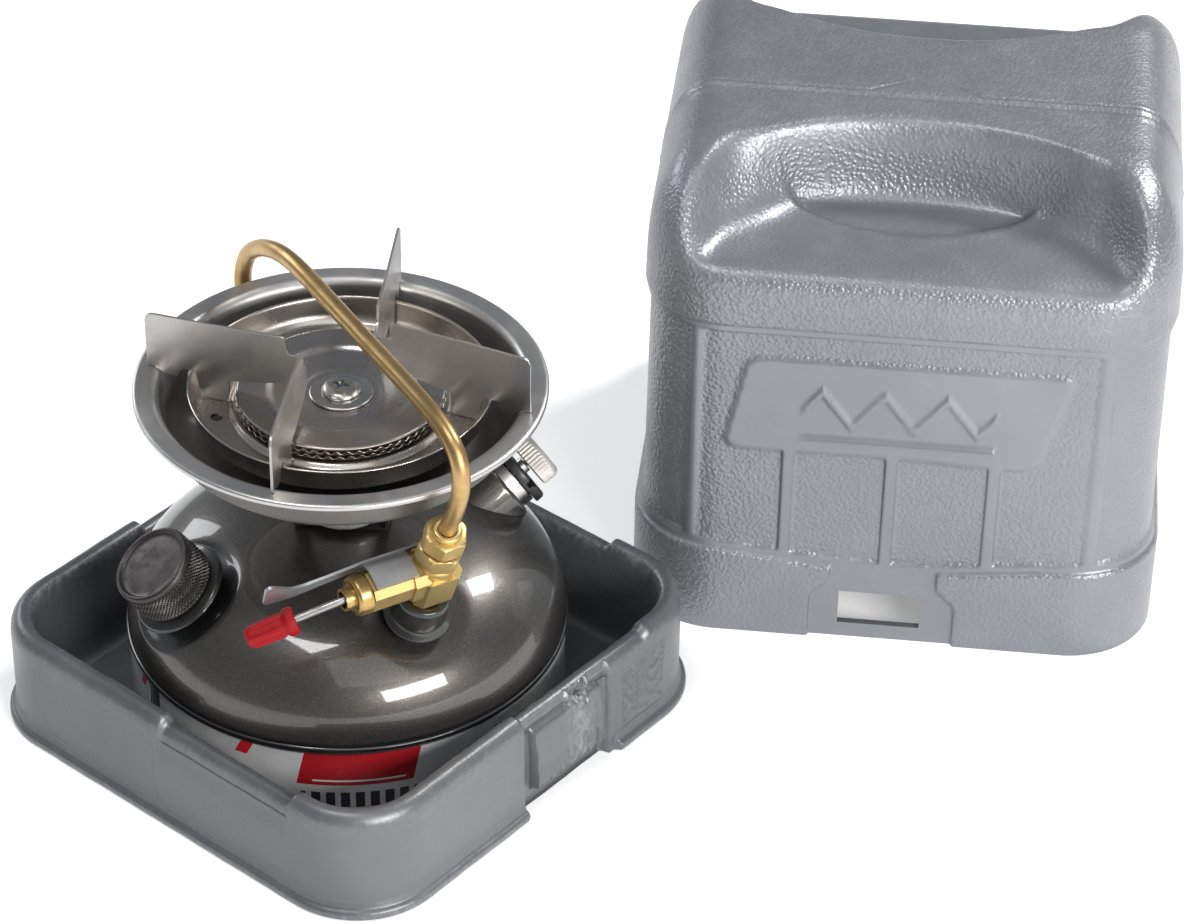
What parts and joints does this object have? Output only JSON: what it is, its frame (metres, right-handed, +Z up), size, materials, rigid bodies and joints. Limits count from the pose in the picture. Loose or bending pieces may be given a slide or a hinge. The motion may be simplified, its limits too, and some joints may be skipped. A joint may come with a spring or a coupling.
{
  "type": "camping stove",
  "caption": "Single-burner liquid-fuel camping stove with round tank, pump, looped generator and folded pot grate, in a square case tray with its cover beside it.",
  "frame": {"origin": "centre of the flat underside of the case tray", "axes": "+Z up along the tank's axis, -Y the tray side at the lower left of the picture, +X the tray side with the latch tab"},
  "size_m": [0.2629, 0.4023, 0.166],
  "materials": {
    "case_plastic": "blow-moulded grey with a fine pebble grain",
    "tank_paint": "dark bronze-grey metallic gloss",
    "cup_paint": "dark gloss",
    "label_foil": "printed foil label with no wording",
    "black_metal": "satin black",
    "gunmetal": "gunmetal, diamond knurl",
    "seal": "nitrile",
    "brass": "bright turned brass",
    "brass_dull": "brass tube browned by heat",
    "nickel": "nickel plated",
    "steel": "pressed stainless sheet, heat-tinted",
    "chrome": "bright",
    "aluminium": "mill finish sheet",
    "leather": "oiled",
    "black_plastic": "moulded",
    "knob_grey": "light grey moulding with a ribbed edge",
    "red_plastic": "red vinyl"
  },
  "bodies": {
    "tray": {"case_tray": "case_plastic"},
    "cover": {"case_cover": "case_plastic"},
    "cap_carrier": {"cap_insert": "brass", "cap_gasket": "seal"},
    "fuel_cap": {"fuel_cap": "gunmetal"},
    "pump_plunger": {"pump_rod": "nickel", "pump_cup": "leather"},
    "pump_knob": {"pump_knob": "knob_grey"},
    "control_lever": {"control_stem": "nickel", "control_grip": "red_plastic"},
    "stove": {"tank_dome": "tank_paint", "tank_cup": "cup_paint", "tank_label": "label_foil", "filler_neck": "black_metal", "pump_boss": "tank_paint", "pump_barrel": "nickel", "check_valve": "brass", "pump_clip": "black_plastic", "valve_bung": "black_metal", "valve_body": "brass", "pickup_tube": "brass", "generator_nut": "brass", "generator_tube": "brass_dull", "generator_jet": "brass", "packing_nut": "brass", "valve_strip": "nickel", "burner_bracket": "black_metal", "mixing_chamber": "chrome", "wind_bowl": "steel", "inner_pan": "steel", "ring_flat_1": "steel", "ring_wave_1": "steel", "ring_flat_2": "steel", "ring_wave_2": "steel", "burner_cap": "steel", "screw_washer": "steel", "burner_screw": "nickel", "grate_1": "aluminium", "grate_2": "aluminium"}
  },
  "joints": [
    {"name": "stove_lift", "type": "slide", "parent": "tray", "child": "stove", "axis": [0, 0, 1], "range_m": [0, 0.12]},
    {"name": "cover_lift", "type": "slide", "parent": "tray", "child": "cover", "axis": [0, 0, 1], "range_m": [0, 0.2]},
    {"name": "fuel_cap_lift", "type": "slide", "parent": "stove", "child": "cap_carrier", "axis": [-0.2201, -0.5185, 0.8263], "range_m": [0, 0.005]},
    {"name": "fuel_cap_turn", "type": "hinge", "parent": "cap_carrier", "child": "fuel_cap", "pos_m": [-0.02364, -0.0557, 0.06793], "axis": [-0.2201, -0.5185, 0.8263], "range_deg": [0, 720]},
    {"name": "pump_stroke", "type": "slide", "parent": "stove", "child": "pump_plunger", "axis": [0.3314, 0.7806, 0.5299], "range_m": [0, 0.036]},
    {"name": "pump_knob_turn", "type": "hinge", "parent": "pump_plunger", "child": "pump_knob", "pos_m": [0.02457, 0.05788, 0.07171], "axis": [0.3314, 0.7806, 0.5299], "range_deg": [0, 720]},
    {"name": "control_turn", "type": "hinge", "parent": "stove", "child": "control_lever", "pos_m": [0.05547, -0.02019, 0.09038], "axis": [-0.342, -0.9397, 0], "range_deg": [0, 120]}
  ],
  "couplings": [
    {"joint": "fuel_cap_lift", "follows": "fuel_cap_turn", "m_per_rad": 0.00039789}
  ]
}
